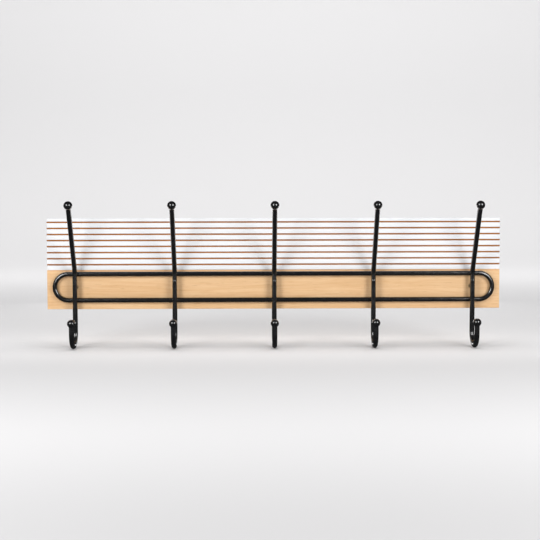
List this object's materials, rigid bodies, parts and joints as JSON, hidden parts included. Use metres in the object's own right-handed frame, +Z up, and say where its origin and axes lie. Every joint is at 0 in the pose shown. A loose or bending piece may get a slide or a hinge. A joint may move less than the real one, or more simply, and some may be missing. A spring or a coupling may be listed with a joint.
{
  "type": "wall hook rack",
  "caption": "Wall-hung coat rack: a grooved, half-painted wooden board with a black wire loop on its face that carries double hooks, each a bent rod with ball tips.",
  "frame": {"origin": "middle of the board's back face, which lies against the wall", "axes": "+X along the rack, +Z up, +Y into the wall, so the hooks point to -Y"},
  "size_m": [0.6, 0.0754, 0.1923],
  "materials": {
    "board_wood": "light veneer, satin lacquer; the grooved upper part is painted white",
    "black_steel": "black powder coat, semi-gloss",
    "zinc_steel": "zinc plated"
  },
  "bodies": {
    "root": {"board": "board_wood", "loop_frame": "black_steel", "hook_rod_1": "black_steel", "hook_rod_2": "black_steel", "hook_rod_3": "black_steel", "hook_rod_4": "black_steel", "hook_rod_5": "black_steel", "upper_ball_1": "black_steel", "upper_ball_2": "black_steel", "upper_ball_3": "black_steel", "upper_ball_4": "black_steel", "upper_ball_5": "black_steel", "lower_ball_1": "black_steel", "lower_ball_2": "black_steel", "lower_ball_3": "black_steel", "lower_ball_4": "black_steel", "lower_ball_5": "black_steel", "boss_left": "black_steel", "boss_middle": "black_steel", "boss_right": "black_steel", "fixing_screws": "zinc_steel", "fixing_washers": "zinc_steel", "hanger_left": "zinc_steel", "hanger_right": "zinc_steel", "hanger_screws": "zinc_steel"}
  },
  "joints": []
}
